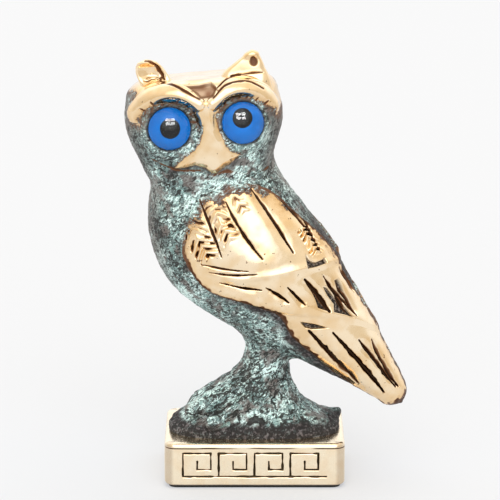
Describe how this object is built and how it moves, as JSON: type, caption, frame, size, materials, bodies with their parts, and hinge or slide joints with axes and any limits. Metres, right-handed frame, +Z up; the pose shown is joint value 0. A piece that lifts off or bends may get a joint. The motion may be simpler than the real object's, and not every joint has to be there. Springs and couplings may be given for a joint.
{
  "type": "owl figurine",
  "caption": "Cast bronze owl standing in profile on a small oblong plinth with its head turned to the side, horn-like ears, domed blue glass eyes and polished wings.",
  "frame": {"origin": "centre of the felt pad's underside, where the plinth's two middle planes meet", "axes": "+Z up from the plinth to the ears, +X from the breast towards the tail, -Y the way the face looks"},
  "size_m": [0.0527, 0.0278, 0.0835],
  "materials": {
    "patinated_bronze": "verdigris patina in the hollows, polished on the face, wings and tail",
    "polished_bronze": "polished",
    "felt": "matt felt",
    "screw_steel": "zinc plated",
    "eye_glass": "clear polished",
    "iris_enamel": "glossy opaque blue",
    "pupil_enamel": "glossy opaque black",
    "stem_wire": "drawn wire",
    "eye_cement": "set epoxy"
  },
  "bodies": {
    "root": {"owl_casting": "patinated_bronze", "plinth": "polished_bronze", "felt_pad": "felt", "plinth_screws": "screw_steel", "plinth_washers": "screw_steel", "left_eye_glass": "eye_glass", "left_eye_iris": "iris_enamel", "left_eye_pupil": "pupil_enamel", "left_eye_stem": "stem_wire", "left_eye_bedding": "eye_cement", "right_eye_glass": "eye_glass", "right_eye_iris": "iris_enamel", "right_eye_pupil": "pupil_enamel", "right_eye_stem": "stem_wire", "right_eye_bedding": "eye_cement"}
  },
  "joints": []
}
